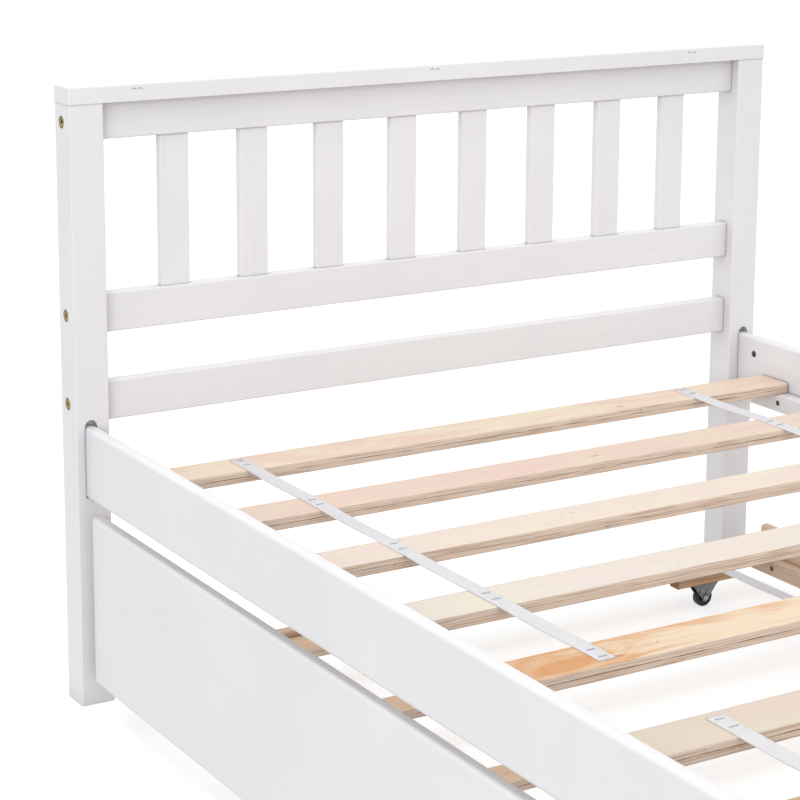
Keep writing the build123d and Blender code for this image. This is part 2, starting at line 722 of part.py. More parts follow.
# Bed hardware
end_places = [place for end in ENDS.values() for place in end_joints(end)]
side_places = [place for side in SIDES.values() for place in side_joints(side)]
save("frame_bolts", [place * bolt() for place in end_places + side_places])
end_nuts = [place * barrel_nut(END_RAIL_THICKNESS) for place in end_places]
side_nuts = [place * barrel_nut(SIDE_RAIL_THICKNESS) for place in side_places]
save("barrel_nuts", end_nuts + side_nuts)
rail_dowels = [place * dowel(POST) for end in ENDS.values() for place in end_joints(end, DOWEL_OFFSET)]
side_dowels = [side_joint(*corner, SIDE_DOWEL_Z) * dowel(POST - GROOVE_DEPTH) for corner in corners()]
top_dowels = [place * upright_dowel() for end in ENDS.values() for place in cap_dowels(end)]
save("frame_dowels", rail_dowels + side_dowels + top_dowels)
ledger_places = [place for side in SIDES.values() for place in bed_ledger_screws(side)]
save("bed_ledger_screws", [place * screw(SCREW_LENGTH) for place in ledger_places])

# Trundle frame
save("trundle_front_panel", front_panel())
save("trundle_back_rail", back_rail())
for end_name, end in ENDS.items():
    save(f"trundle_end_board_{end_name}", end_board(end))
front_x = (PANEL_BACK, PANEL_BACK + TRUNDLE_LEDGER)
front_z = (PANEL_Z[0] + PANEL_LEDGER_LIFT, TRUNDLE_SLAT_Z[0])
save("trundle_ledger_front", trundle_ledger(front_x, front_z, panel_ledger_screws()))
back_x = (BACK_RAIL_FACE - TRUNDLE_LEDGER, BACK_RAIL_FACE)
back_z = (BACK_RAIL_Z[0], TRUNDLE_SLAT_Z[0])
save("trundle_ledger_back", trundle_ledger(back_x, back_z, back_ledger_screws()))

# Trundle slat deck
trundle_sets = slat_sets(TRUNDLE_FIRST_SLAT, TRUNDLE_SLAT_PITCH, TRUNDLE_SLATS_PER_SET)
for end_name, ys in zip(ENDS, trundle_sets):
    deck = []
    for y in ys:
        made = slat(y, TRUNDLE_SLAT_WIDTH, TRUNDLE_SLAT_LENGTH, TRUNDLE_SLAT_Z, TRUNDLE_STRAP_X)
        for place in [spot for centre in caster_places() for spot in block_screws(*centre)]:
            made -= place * screw_bore(SHORT_SCREW_LENGTH)
        deck.append(made)
    save(f"trundle_slats_{end_name}", deck)
save("trundle_slat_straps", straps(trundle_sets, TRUNDLE_SLAT_TOP, TRUNDLE_STRAP_X))
save("trundle_strap_staples", staples(trundle_sets, TRUNDLE_SLAT_TOP, TRUNDLE_STRAP_X))

# Trundle hardware and casters
long_places = panel_ledger_screws() + back_ledger_screws()
long_places += [place for end in ENDS.values() for place in end_board_screws(end)]
block_places = [place for centre in caster_places() for place in block_screws(*centre)]
long_screws = [place * screw(SCREW_LENGTH) for place in long_places]
block_screw_solids = [place * screw(SHORT_SCREW_LENGTH) for place in block_places]
save("trundle_screws", long_screws + block_screw_solids)
small_places = [place for centre in caster_places() for place in plate_screws(*centre)]
small_places += [place for end in ENDS.values() for place in angle_screws(end)]
save("trundle_small_screws", [place * plate_screw() for place in small_places])
save("trundle_angle_brackets", [angle_bracket(end) for end in ENDS.values()])
save("caster_blocks", [caster_block(*centre) for centre in caster_places()])
save("caster_brackets", [caster_bracket(*centre) for centre in caster_places()])
save("caster_axles", [caster_axle(*centre) for centre in caster_places()])
for end_name, end in ENDS.items():
    for side_name, side in SIDES.items():
        save(f"caster_wheel_{end_name}_{side_name}", caster_wheel(side * CASTER_X, end * CASTER_Y))
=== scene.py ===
import math

import bmesh
import bpy
from mathutils import Matrix, Vector


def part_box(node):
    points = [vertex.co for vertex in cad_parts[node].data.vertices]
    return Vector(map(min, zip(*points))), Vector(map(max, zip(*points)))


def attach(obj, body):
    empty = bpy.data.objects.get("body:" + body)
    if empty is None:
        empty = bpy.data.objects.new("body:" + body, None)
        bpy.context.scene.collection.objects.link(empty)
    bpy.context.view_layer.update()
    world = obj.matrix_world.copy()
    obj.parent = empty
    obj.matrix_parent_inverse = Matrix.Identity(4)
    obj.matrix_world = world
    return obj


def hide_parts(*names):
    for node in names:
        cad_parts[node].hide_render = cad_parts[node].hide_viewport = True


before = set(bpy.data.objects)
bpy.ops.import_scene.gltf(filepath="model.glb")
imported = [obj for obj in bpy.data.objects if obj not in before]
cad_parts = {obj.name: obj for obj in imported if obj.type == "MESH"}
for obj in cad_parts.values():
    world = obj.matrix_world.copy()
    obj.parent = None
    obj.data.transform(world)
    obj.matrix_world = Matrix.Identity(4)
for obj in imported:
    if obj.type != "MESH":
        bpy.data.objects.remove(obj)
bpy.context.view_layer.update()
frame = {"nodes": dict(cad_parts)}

# Twin trundle bed: procedural finishes on the CAD nodes, woven straps over the
# slats, small marks in the paint, studio light and the camera.

MM = 0.001

# Camera
CAMERA_AT = (-1.6149, -1.6137, 1.1347)
CAMERA_YAW = 31.14          # degrees, from +Y towards +X
CAMERA_PITCH = 11.30        # degrees, downwards
CAMERA_ROLL = 0.32          # degrees
CAMERA_LENS = 102.95        # millimetres, as the sensor's width is
SENSOR_WIDTH = 36.0
CAMERA_SHIFT = -0.18
CAMERA_REACH = 100.0

# Light
SKY = 1.0
GROUND = 0.46               # light from below, as a share of the sky
GROUND_UP_TO = -0.50        # heights of a unit direction, between which the
SKY_FROM = -0.06            # light grows from the ground's to the sky's
KEY_LIGHT = {"at": (-4.6, -3.8, 1.9), "towards": (-0.3, 0.2, 0.4), "size": 2.8, "power": 108}
TOP_LIGHT = {"at": (0.1, 0.5, 3.4), "towards": (0.0, 0.3, 0.3), "size": 2.6, "power": 27}

# Floor
FLOOR_SIZE = 160.0
FLOOR_DROP = 0.5 * MM
FLOOR_GLOW = 0.66
FLOOR_ALBEDO = 0.42
FLOOR_MOTTLE = 0.97         # its darker patches, as a share of the albedo

# Straps
STRAP_WIDTH = 20 * MM
STRAP_THICKNESS = 1.1 * MM
STRAP_LIFT = 0.05 * MM
STRAP_SAG = 0.9 * MM
STRAP_STEP = 4 * MM
STRAY = 0.35 * MM           # how far a strap wanders sideways
STRAY_SLOW = 7.3            # its two waves, in radians per metre
STRAY_QUICK = 19.0
TILT = 0.03                 # slope across a strap that hangs between slats
TILT_WAVE = 11.0
WARP_PITCH = 1.0 * MM
WEFT_PITCH = 1.25 * MM

# Dents in the headboard's cap, in pairs
DENT_PLACES = (91 * MM, 521 * MM, 949 * MM)     # from the cap's left end
DENT_APART = 8.4 * MM
DENT_BELOW = 8.5 * MM                           # from the cap's top
DENT_WIDTH = 7.0 * MM
DENT_RISE = 1.6 * MM
DENT_STROKE = 1.1 * MM
DENT_RELIEF = 0.1 * MM
DENT_PROUD = 0.02 * MM
DENT_STEPS = 8

CORNER_SAMPLES = 6          # rays to find how closed in a corner is, for the painted corner shade
WELD_DISTANCE = 1e-6        # joins a CAD mesh's faces, to tell its solids apart


def srgb(red, green, blue):
    """Linear colour from display values of 0 to 255."""
    def linear(value):
        value /= 255
        return value / 12.92 if value <= 0.04045 else ((value + 0.055) / 1.055) ** 2.4
    return (linear(red), linear(green), linear(blue), 1.0)


def scaled(colour, red, green, blue):
    """A linear colour with its channels multiplied."""
    return (colour[0] * red, colour[1] * green, colour[2] * blue, 1.0)


def dimmed(colour, share):
    """A linear colour made darker."""
    return scaled(colour, share, share, share)


WHITE = (1.0, 1.0, 1.0, 1.0)

# White paint
PAINT = srgb(225, 224, 227)
PAINT_BRIGHT = srgb(230, 229, 231)
PAINT_GRAIN = srgb(210, 207, 208)
PAINT_SPECK = srgb(184, 180, 178)
# Painted shade: a grey for corners and under rails, and a darker one where parts touch
PAINT_CORNER_SHADE = srgb(146, 143, 145)
PAINT_CONTACT_SHADE = srgb(100, 97, 99)
# Painted shade inside the dents in the cap, dark and pale
DENT_SHADE_DARK = srgb(120, 116, 112)
DENT_SHADE_PALE = srgb(166, 162, 158)

# Laminated veneer
VENEER_LINE = srgb(168, 132, 106)
VENEER_SPOT = srgb(112, 84, 62)
VENEER_KNOT = srgb(150, 108, 76)
# Painted shade where the veneer meets other parts
VENEER_CORNER_SHADE = srgb(120, 96, 80)
VENEER_DEEPER = (0.88, 0.80, 0.72)      # a streak's channels, as shares of the warm colour's
PLY_LIGHT = srgb(226, 207, 190)
PLY_TAN = srgb(213, 189, 170)
PLY_DARK = srgb(198, 171, 151)
PLY_FIBRE = srgb(172, 140, 116)
PLY_GLUE = srgb(104, 78, 62)
PLY_PIT = srgb(70, 48, 36)
PLY_END = srgb(206, 176, 148)
PLY_END_PORE = srgb(146, 112, 86)
PLY_IN_END = 0.45                       # how much the plies show in a sawn end
PLY_RIPPLE = 0.10                       # as a share of a slat's thickness, as the heights below
GLUE_LEVEL = 0.475
PLIES = [(0.0, PLY_DARK), (0.08, PLY_TAN), (0.20, PLY_LIGHT), (0.30, PLY_TAN), (0.42, PLY_LIGHT),
         (0.455, PLY_DARK), (0.52, PLY_LIGHT), (0.66, PLY_LIGHT), (0.70, PLY_TAN), (0.76, PLY_LIGHT),
         (0.90, PLY_LIGHT)]

# Face veneers from the headboard down the bed: pale colour, warm colour, how strongly
# figured, how open the glue line on the edges is, and how fast the warm colour fades
# towards +X, per metre
SLAT_TONES = [
    (srgb(227, 213, 190), srgb(224, 197, 181), 1.0, 0.9, 0.0),
    (srgb(218, 201, 182), srgb(221, 193, 183), 0.9, 0.8, 0.0),
    (srgb(222, 211, 193), srgb(223, 205, 196), 0.9, 0.4, 0.0),
    (srgb(219, 212, 196), srgb(220, 207, 199), 0.7, 0.3, 0.0),
    (srgb(224, 204, 178), srgb(206, 152, 102), 1.2, 0.9, 0.9),
    (srgb(210, 200, 181), srgb(212, 195, 180), 0.8, 0.9, 0.0),
    (srgb(217, 202, 181), srgb(214, 191, 176), 0.9, 0.5, 0.0),
    (srgb(219, 206, 190), srgb(220, 197, 182), 0.8, 0.7, 0.2),
    (srgb(214, 196, 171), srgb(212, 184, 161), 1.0, 0.6, -0.2),
    (srgb(220, 206, 184), srgb(218, 194, 176), 0.9, 0.8, 0.0),
]
FADE_MIDDLE = -0.30         # where along X the fade is nil, in metres
SLAT_SEED = 1               # of the first slat, with a step to each of the next
SLAT_SEED_STEP = 3.1
TRUNDLE_TONE = (srgb(220, 194, 164), srgb(214, 180, 148))
TRUNDLE_SEED = 40

# Solid timber: pale, warm and dark
PINE = (srgb(222, 200, 180), srgb(212, 184, 160), srgb(182, 150, 124))
BLOCK_WOOD = (srgb(206, 172, 134), srgb(182, 140, 104), srgb(96, 62, 40))
BEECH = (srgb(226, 196, 158), srgb(214, 178, 138), srgb(176, 134, 98))
# Painted shade in the corners of solid timber
WOOD_CORNER_SHADE = srgb(90, 66, 48)
WOOD_RINGS = 7.0            # dark bands over the range of the noise

# Metal: plating and its cloudy tint
YELLOW_ZINC = (srgb(160, 142, 82), srgb(118, 104, 58))
NUT_STEEL = (srgb(96, 94, 92), srgb(66, 64, 62))
RIVET_STEEL = (srgb(168, 168, 172), srgb(126, 126, 130))
STAPLE_WIRE = (srgb(222, 223, 228), srgb(196, 198, 204))
SCREW_STEEL = (srgb(112, 102, 92), srgb(78, 70, 62))
CASTER_STEEL = (srgb(132, 132, 134), srgb(96, 96, 100))
METAL_CORNER_SHADE = 0.25           # painted shade in the corners, as a share of the tint

# Black plastic and white tape
BLACK = srgb(7, 7, 8)
BLACK_WORN = srgb(18, 17, 17)
BLACK_DUST = srgb(80, 77, 74)
TAPE = srgb(226, 225, 229)
TAPE_BRIGHT = srgb(233, 232, 234)
# Painted shade in the hollows of the weave
TAPE_HOLLOW_SHADE = srgb(200, 198, 202)
TAPE_FUZZ = srgb(204, 204, 206)


class Finish:
    """A node material under construction; its methods add nodes and return their output sockets."""

    def __init__(self, name, **constants):
        self.material = bpy.data.materials.new(name)
        self.material.use_nodes = True
        self.nodes = self.material.node_tree.nodes
        self.links = self.material.node_tree.links
        self.shader = self.nodes["Principled BSDF"]
        for socket, value in constants.items():
            self.shader.inputs[socket.replace("_", " ")].default_value = value
        self.place = self.add("ShaderNodeTexCoord").outputs["Object"]

    def add(self, kind, inputs=(), **settings):
        """One node, with its inputs set or linked by name or number."""
        node = self.nodes.new(kind)
        for key, value in settings.items():
            setattr(node, key, value)
        for key, value in dict(inputs).items():
            self.feed(node.inputs[key], value)
        return node

    def feed(self, socket, value):
        """Link a socket to another, or set it."""
        if isinstance(value, bpy.types.NodeSocket):
            self.links.new(value, socket)
        else:
            socket.default_value = value

    def stretch(self, scale, offset):
        """Object coordinates scaled along each axis and moved."""
        inputs = {"Vector": self.place, "Scale": scale, "Location": offset}
        return self.add("ShaderNodeMapping", inputs).outputs["Vector"]

    def noise(self, scale, offset=(0, 0, 0), detail=4.0, rough=0.55, distortion=0.0):
        """Noise in 0 to 1, its scale given as cycles per metre along X, Y and Z."""
        inputs = {"Vector": self.stretch(scale, offset), "Scale": 1.0, "Detail": detail,
                  "Roughness": rough, "Distortion": distortion}
        return self.add("ShaderNodeTexNoise", inputs).outputs["Fac"]

    def math(self, operation, first, second=0.0, third=0.0, clamp=False):
        """One math node."""
        inputs = {0: first, 1: second, 2: third}
        return self.add("ShaderNodeMath", inputs, operation=operation, use_clamp=clamp).outputs[0]

    def total(self, *parts):
        """Sum of (value, weight) parts."""
        result = 0.0
        for value, weight in parts:
            result = self.math("MULTIPLY_ADD", value, weight, result)
        return result

    def spread(self, value, low, high):
        """A value of 0 to 1 brought between low and high."""
        return self.math("MULTIPLY_ADD", value, high - low, low)

    def rise(self, value, start, full, amount=1.0):
        """0 where a value is at start, amount where it is at full, and smooth between."""
        inputs = {"Value": value, "From Min": start, "From Max": full, "To Max": amount}
        return self.add("ShaderNodeMapRange", inputs, interpolation_type="SMOOTHSTEP").outputs["Result"]

    def ramp(self, factor, stops):
        """Colour ramp through (position, colour) stops."""
        node = self.add("ShaderNodeValToRGB", {"Fac": factor})
        elements = node.color_ramp.elements
        while len(elements) < len(stops):
            elements.new(1.0)
        for element, (position, colour) in zip(elements, stops):
            element.position = position
            element.color = colour
        return node.outputs["Color"]

    def mix(self, factor, first, second):
        """Blend of two colours."""
        inputs = {"Factor": factor, "A": first, "B": second}
        return self.add("ShaderNodeMix", inputs, data_type="RGBA").outputs["Result"]

    def stain(self, colour, tint, value, start, full, amount=1.0):
        """A colour that turns to a tint, by up to amount, where a value goes from start to full."""
        return self.mix(self.rise(value, start, full, amount), colour, tint)

    def axis(self, letter):
        """One object coordinate, in metres."""
        return self.add("ShaderNodeSeparateXYZ", {"Vector": self.place}).outputs[letter]

    def facing(self, letter):
        """How squarely the surface faces along an axis, 0 to 1."""
        normal = self.add("ShaderNodeNewGeometry").outputs["Normal"]
        node = self.add("ShaderNodeSeparateXYZ", {"Vector": normal})
        return self.math("ABSOLUTE", node.outputs[letter])

    def corner_shade(self, colour, shade, reach, amount):
        """Painted shade: darken a colour a little where surfaces meet."""
        node = self.add("ShaderNodeAmbientOcclusion", {"Distance": reach}, samples=CORNER_SAMPLES)
        closed = self.math("SUBTRACT", 1.0, node.outputs["AO"])
        return self.mix(self.math("MULTIPLY", closed, amount, clamp=True), colour, shade)

    def paint(self, colour, roughness, height, depth, strength):
        """Connect colour, roughness and a bump of some depth to the shader."""
        inputs = {"Height": height, "Distance": depth, "Strength": strength}
        bump = self.add("ShaderNodeBump", inputs)
        self.feed(self.shader.inputs["Base Color"], colour)
        self.feed(self.shader.inputs["Roughness"], roughness)
        self.feed(self.shader.inputs["Normal"], bump.outputs["Normal"])
        return self.material


def along(axis, fine, coarse):
    """A scale that is coarse along the grain axis and fine across it."""
    return tuple(coarse if name == axis else fine for name in "XYZ")


def white_paint(axis):
    """Sprayed satin white over timber, whose grain shows faintly through, with painted shade in its
    corners.
    """
    finish = Finish(f"white_paint_{axis}", Specular_IOR_Level=0.35)
    cloud = finish.noise((5, 5, 5), detail=3.0)
    grain = finish.noise(along(axis, fine=260, coarse=5), detail=6.0, distortion=0.6)
    peel = finish.noise((900, 900, 900), detail=2.0)
    speck = finish.noise((420, 420, 420), offset=(3, 1, 7), detail=1.0)
    colour = finish.ramp(cloud, [(0.30, PAINT), (0.70, PAINT_BRIGHT)])
    colour = finish.stain(colour, PAINT_GRAIN, grain, start=0.56, full=0.78, amount=0.28)
    colour = finish.stain(colour, PAINT_SPECK, speck, start=0.80, full=0.86, amount=0.25)
    # Painted shade in corners and under rails, then a darker painted contact shadow where parts meet
    colour = finish.corner_shade(colour, PAINT_CORNER_SHADE, reach=30 * MM, amount=0.40)
    colour = finish.corner_shade(colour, PAINT_CONTACT_SHADE, reach=3 * MM, amount=0.75)
    roughness = finish.spread(cloud, low=0.34, high=0.50)
    height = finish.total((grain, 0.7), (peel, 0.4))
    return finish.paint(colour, roughness, height, depth=0.12 * MM, strength=0.45)


def veneer_face(finish, shift, seed, pale, warm, contrast, fade):
    """Rotary-cut face: broad patches, long streaks, thin dark grain lines, spots and knots."""
    patch = finish.noise((5.5, 16, 16), shift, detail=4.0, distortion=1.6)
    streak = finish.noise((7, 190, 190), shift, detail=6.0, rough=0.62, distortion=0.8)
    line = finish.noise((16, 620, 620), shift, detail=3.0)
    spot = finish.noise((60, 150, 150), (seed, 9, 4), detail=2.0)
    cells = {"Vector": finish.stretch((7, 20, 0), shift), "Scale": 1.0}
    knot = finish.add("ShaderNodeTexVoronoi", cells).outputs["Distance"]
    along_slat = finish.math("SUBTRACT", finish.axis("X"), FADE_MIDDLE)
    patch = finish.total((patch, 1.0), (along_slat, -fade))
    face = finish.stain(pale, warm, patch, start=0.36, full=0.66)
    deeper = scaled(warm, *VENEER_DEEPER)
    face = finish.stain(face, deeper, streak, start=0.50, full=0.78, amount=0.45 * contrast)
    face = finish.stain(face, VENEER_LINE, line, start=0.64, full=0.84, amount=0.32 * contrast)
    face = finish.stain(face, VENEER_SPOT, spot, start=0.735, full=0.77, amount=0.7)
    face = finish.stain(face, VENEER_KNOT, knot, start=0.085, full=0.035, amount=0.55)
    return face, streak, line


def veneer_edge(finish, shift, seed, low, high, gap):
    """Plies on the long edges, with an open glue line that comes and goes."""
    wave = finish.noise((9, 9, 9), shift, detail=2.0)
    fibre = finish.noise((14, 420, 620), shift, detail=5.0)
    closed = finish.noise((26, 60, 60), shift, detail=3.0)
    pit = finish.noise((70, 300, 420), (seed, 2, 5), detail=2.0)
    level = finish.math("DIVIDE", finish.math("SUBTRACT", finish.axis("Z"), low), high - low)
    level = finish.total((level, 1.0), (finish.math("SUBTRACT", wave, 0.5), PLY_RIPPLE))
    glue = finish.math("ABSOLUTE", finish.math("SUBTRACT", level, GLUE_LEVEL))
    glue = finish.rise(glue, start=0.050, full=0.014)
    glue = finish.math("MULTIPLY", glue, finish.rise(closed, start=0.34, full=0.60))
    edge = finish.ramp(level, PLIES)
    edge = finish.stain(edge, PLY_FIBRE, fibre, start=0.48, full=0.62, amount=0.55)
    edge = finish.mix(finish.math("MULTIPLY", glue, gap), edge, PLY_GLUE)
    edge = finish.stain(edge, PLY_PIT, pit, start=0.73, full=0.79, amount=0.8)
    return edge, glue


def veneer(name, box, seed, pale, warm, contrast=1.0, gap=0.7, fade=0.0):
    """Bare laminated veneer lying along X: its face, the plies on its edges and its sawn ends."""
    low, high = box
    finish = Finish(name, Specular_IOR_Level=0.3)
    shift = (seed * 1.7, seed * 0.9, seed * 0.4)
    face, streak, line = veneer_face(finish, shift, seed, pale, warm, contrast, fade)
    edge, glue = veneer_edge(finish, shift, seed, low.z, high.z, gap)
    pores = finish.noise((900, 420, 900), shift, detail=3.0)
    end = finish.stain(PLY_END, PLY_END_PORE, pores, start=0.44, full=0.66)
    end = finish.mix(PLY_IN_END, end, edge)
    colour = finish.stain(edge, face, finish.facing("Z"), start=0.35, full=0.65)
    colour = finish.stain(colour, end, finish.facing("X"), start=0.55, full=0.85)
    # Painted shade within 6 mm of other surfaces
    colour = finish.corner_shade(colour, VENEER_CORNER_SHADE, reach=6 * MM, amount=0.50)
    roughness = finish.spread(streak, low=0.48, high=0.73)
    height = finish.total((line, 0.6), (streak, 0.8), (glue, -0.8))
    return finish.paint(colour, roughness, height, depth=0.35 * MM, strength=0.6)


def bare_wood(name, axis, tones, seed):
    """Planed solid timber, its growth rings running along one axis."""
    pale, warm, dark = tones
    finish = Finish(name, Specular_IOR_Level=0.3)
    shift = (seed, seed * 0.6, seed * 0.3)
    warp = finish.noise(along(axis, fine=14, coarse=1.6), shift, detail=2.0)
    rings = finish.noise(along(axis, fine=95, coarse=1.8), shift, detail=3.0, distortion=0.9)
    fibre = finish.noise(along(axis, fine=700, coarse=14), shift, detail=4.0)
    pores = finish.noise((800, 800, 800), shift, detail=3.0)
    rings = finish.total((rings, 1.0), (warp, 0.6))
    bands = finish.math("FRACT", finish.math("MULTIPLY", rings, WOOD_RINGS))
    colour = finish.mix(warp, pale, warm)
    colour = finish.stain(colour, dark, bands, start=0.45, full=0.95, amount=0.50)
    colour = finish.stain(colour, dark, fibre, start=0.55, full=0.80, amount=0.35)
    end = finish.stain(warm, dark, pores, start=0.42, full=0.66)
    end = finish.stain(end, dark, bands, start=0.55, full=0.95, amount=0.6)
    colour = finish.stain(colour, end, finish.facing(axis), start=0.6, full=0.9)
    # Painted shade within 12 mm of other surfaces
    colour = finish.corner_shade(colour, WOOD_CORNER_SHADE, reach=12 * MM, amount=0.5)
    roughness = finish.spread(fibre, low=0.45, high=0.70)
    height = finish.total((fibre, 1.0), (bands, 0.4))
    return finish.paint(colour, roughness, height, depth=0.3 * MM, strength=0.55)


def metal(name, tones, roughness, scratch=(900, 900, 900), shade_amount=0.8):
    """Plated steel: cloudy plating, fine scratches and painted shade in the corners."""
    plating, tint = tones
    finish = Finish(name, Metallic=1.0)
    cloud = finish.noise((160, 160, 160), detail=4.0)
    fine = finish.noise(scratch, detail=4.0)
    colour = finish.stain(plating, tint, cloud, start=0.35, full=0.70)
    # Painted shade: a darker tint mixed in where surfaces close in around corners
    corner_shade_colour = dimmed(tint, METAL_CORNER_SHADE)
    colour = finish.corner_shade(colour, corner_shade_colour, reach=4 * MM, amount=shade_amount)
    rough = finish.spread(cloud, low=roughness - 0.10, high=roughness + 0.12)
    rough = finish.total((rough, 1.0), (fine, 0.08))
    return finish.paint(colour, rough, fine, depth=0.05 * MM, strength=0.35)


def black_plastic():
    """Moulded nylon with a faint mould texture and a little dust."""
    finish = Finish("black_plastic", Specular_IOR_Level=0.35)
    cloud = finish.noise((120, 120, 120), detail=4.0)
    grit = finish.noise((1500, 1500, 1500), detail=2.0)
    colour = finish.stain(BLACK, BLACK_WORN, cloud, start=0.35, full=0.75)
    colour = finish.stain(colour, BLACK_DUST, grit, start=0.66, full=0.78, amount=0.25)
    roughness = finish.spread(cloud, low=0.16, high=0.41)
    return finish.paint(colour, roughness, grit, depth=0.06 * MM, strength=0.4)


def webbing():
    """White woven tape: warp ribs along it and weft picks across, with painted shade in the hollows of the
    weave.
    """
    finish = Finish("webbing", Sheen_Weight=0.25, Sheen_Roughness=0.5, Specular_IOR_Level=0.2)
    warp = finish.math("SINE", finish.math("MULTIPLY", finish.axis("X"), math.tau / WARP_PITCH))
    weft = finish.math("SINE", finish.math("MULTIPLY", finish.axis("Y"), math.tau / WEFT_PITCH))
    weave = finish.math("MULTIPLY", warp, weft)
    fuzz = finish.noise((1800, 1800, 1800), detail=3.0)
    wear = finish.noise((40, 9, 9), detail=3.0)
    colour = finish.stain(TAPE, TAPE_BRIGHT, wear, start=0.35, full=0.70)
    # Painted shade where the weave is low
    colour = finish.stain(colour, TAPE_HOLLOW_SHADE, weave, start=0.1, full=-0.9, amount=0.30)
    colour = finish.stain(colour, TAPE_FUZZ, fuzz, start=0.60, full=0.80, amount=0.25)
    roughness = finish.spread(fuzz, low=0.66, high=0.86)
    height = finish.total((weave, 1.0), (fuzz, 0.5))
    return finish.paint(colour, roughness, height, depth=0.3 * MM, strength=0.7)


def dented_paint():
    """Grey painted shade of a dent's hollow in the white paint, mottled."""
    finish = Finish("paint_dent")
    blotch = finish.noise((1200, 1200, 1200), detail=3.0)
    # Painted shade of the dent, mottled between dark and pale
    colour = finish.stain(DENT_SHADE_DARK, DENT_SHADE_PALE, blotch, start=0.35, full=0.65)
    roughness = finish.spread(blotch, low=0.4, high=0.7)
    return finish.paint(colour, roughness, blotch, depth=0.1 * MM, strength=0.4)


def floor_finish():
    """Pale floor that glows a little, so that it is lost in the white around it."""
    finish = Finish("floor", Roughness=0.9, Emission_Color=WHITE, Emission_Strength=FLOOR_GLOW)
    pale = dimmed(WHITE, FLOOR_ALBEDO)
    patch = dimmed(pale, FLOOR_MOTTLE)
    colour = finish.mix(finish.noise((3, 3, 3), detail=3.0), patch, pale)
    finish.feed(finish.shader.inputs["Base Color"], colour)
    return finish.material


def dress(nodes, names, material):
    """Give CAD nodes one finish, in all their material slots."""
    for name in names:
        slots = nodes[name].data.materials
        for index in range(len(slots)):
            slots[index] = material


def named(nodes, *starts):
    """Node names that begin with any of these."""
    return sorted(name for name in nodes if name.startswith(starts))


def dress_painted(nodes):
    """Painted parts, by the way their timber runs."""
    ends = named(nodes, "head_", "foot_")
    uprights = [name for name in ends if "_post_" in name or "_slat_" in name]
    crosswise = [name for name in ends if name.endswith(("_rail", "_cap"))]
    lengthwise = named(nodes, "side_rail_", "bed_ledger_left", "bed_ledger_right", "trundle_front_panel")
    for axis, names in (("Z", uprights), ("X", crosswise), ("Y", lengthwise)):
        dress(nodes, names, white_paint(axis))


def dress_slats(nodes):
    """Each bed slat has its own veneer; the trundle's slats share one to a set."""
    for index, (pale, warm, *figure) in enumerate(SLAT_TONES):
        number = f"{index + 1:02d}"
        name = f"bed_slat_{number}"
        seed = SLAT_SEED + SLAT_SEED_STEP * index
        dress(nodes, [name], veneer(f"veneer_{number}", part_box(name), seed, pale, warm, *figure))
    for index, name in enumerate(named(nodes, "trundle_slats_")):
        made = veneer(f"trundle_veneer_{index}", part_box(name), TRUNDLE_SEED + index, *TRUNDLE_TONE)
        dress(nodes, [name], made)


def dress_timber(nodes):
    """Parts of bare solid timber."""
    lengthwise = named(nodes, "trundle_ledger_", "trundle_back_rail")
    dress(nodes, lengthwise, bare_wood("pine_Y", "Y", PINE, seed=2.0))
    dress(nodes, named(nodes, "trundle_end_board_"), bare_wood("pine_X", "X", PINE, seed=5.0))
    dress(nodes, ["caster_blocks"], bare_wood("block_wood", "X", BLOCK_WOOD, seed=9.0))
    dress(nodes, ["frame_dowels"], bare_wood("beech", "Z", BEECH, seed=12.0))


def dress_hardware(nodes):
    """Metal and plastic parts."""
    dress(nodes, ["frame_bolts"], metal("yellow_zinc", YELLOW_ZINC, roughness=0.38))
    dress(nodes, ["barrel_nuts"], metal("nut_steel", NUT_STEEL, roughness=0.42))
    rivet = metal("rivet_steel", RIVET_STEEL, roughness=0.24)
    dress(nodes, ["trundle_small_screws", "caster_axles"], rivet)
    # Staples get less painted corner shade
    wire = metal("staple_wire", STAPLE_WIRE, roughness=0.45, shade_amount=0.25)
    dress(nodes, ["bed_strap_staples", "trundle_strap_staples"], wire)
    screws = metal("screw_steel", SCREW_STEEL, roughness=0.45)
    dress(nodes, ["bed_ledger_screws", "trundle_screws"], screws)
    steel = metal("caster_steel", CASTER_STEEL, roughness=0.46, scratch=(300, 2000, 2000))
    dress(nodes, ["caster_brackets", "trundle_angle_brackets"], steel)
    dress(nodes, named(nodes, "caster_wheel_"), black_plastic())


def mesh_object(name, vertices, faces, material, smooth=True):
    """A mesh piece in the shared frame."""
    mesh = bpy.data.meshes.new(name)
    mesh.from_pydata(vertices, [], faces)
    mesh.materials.append(material)
    mesh.polygons.foreach_set("use_smooth", [smooth] * len(mesh.polygons))
    mesh.update()
    thing = bpy.data.objects.new(name, mesh)
    bpy.context.scene.collection.objects.link(thing)
    return thing


def fix_normals(thing):
    """Turn all faces outwards."""
    mesh = bmesh.new()
    mesh.from_mesh(thing.data)
    bmesh.ops.recalc_face_normals(mesh, faces=mesh.faces)
    mesh.to_mesh(thing.data)
    mesh.free()


def solid_boxes(name):
    """Low and high corners of each separate solid of a CAD node."""
    mesh = bmesh.new()
    mesh.from_mesh(frame["nodes"][name].data)
    bmesh.ops.remove_doubles(mesh, verts=mesh.verts, dist=WELD_DISTANCE)
    unseen = set(mesh.verts)
    boxes = []
    while unseen:
        stack = [unseen.pop()]
        found = [stack[0].co.copy()]
        while stack:
            for edge in stack.pop().link_edges:
                for vertex in edge.verts:
                    if vertex in unseen:
                        unseen.discard(vertex)
                        stack.append(vertex)
                        found.append(vertex.co.copy())
        low = Vector([min(point[axis] for point in found) for axis in range(3)])
        high = Vector([max(point[axis] for point in found) for axis in range(3)])
        boxes.append((low, high))
    mesh.free()
    return sorted(boxes, key=lambda box: (round(box[0].x, 4), round(box[0].y, 4)))


